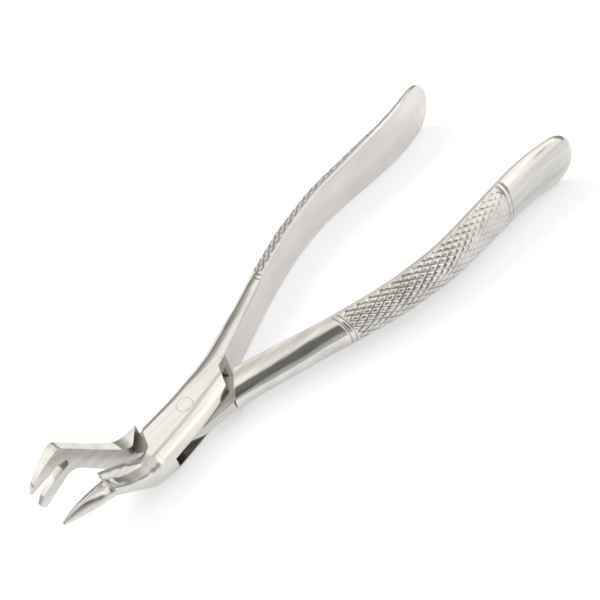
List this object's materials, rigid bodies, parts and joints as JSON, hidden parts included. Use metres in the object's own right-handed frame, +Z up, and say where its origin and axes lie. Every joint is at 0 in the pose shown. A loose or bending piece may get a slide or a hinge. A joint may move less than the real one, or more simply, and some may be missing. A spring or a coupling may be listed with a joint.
{
  "type": "extraction forceps",
  "caption": "Dental extraction forceps: two curved, knurled steel handles crossing in a box joint, with offset beaks, a forked one facing a single point.",
  "frame": {"origin": "where the pivot axis meets the flat underside of the box joint", "axes": "+Z up along the pivot axis, +X along the middle line towards the handles, +Y towards the box half's handle"},
  "size_m": [0.1712, 0.0558, 0.0288],
  "materials": {
    "polished_steel": "polished stainless, satin inner handle faces",
    "pin_steel": "ground flush and polished"
  },
  "bodies": {
    "box": {"box_half": "polished_steel", "joint_pin": "pin_steel"},
    "passing": {"passing_half": "polished_steel"}
  },
  "joints": [
    {"name": "pivot", "type": "hinge", "parent": "box", "child": "passing", "pos_m": [0, 0, 0.0048], "axis": [0, 0, 1], "range_deg": [-13, 11.5]}
  ]
}
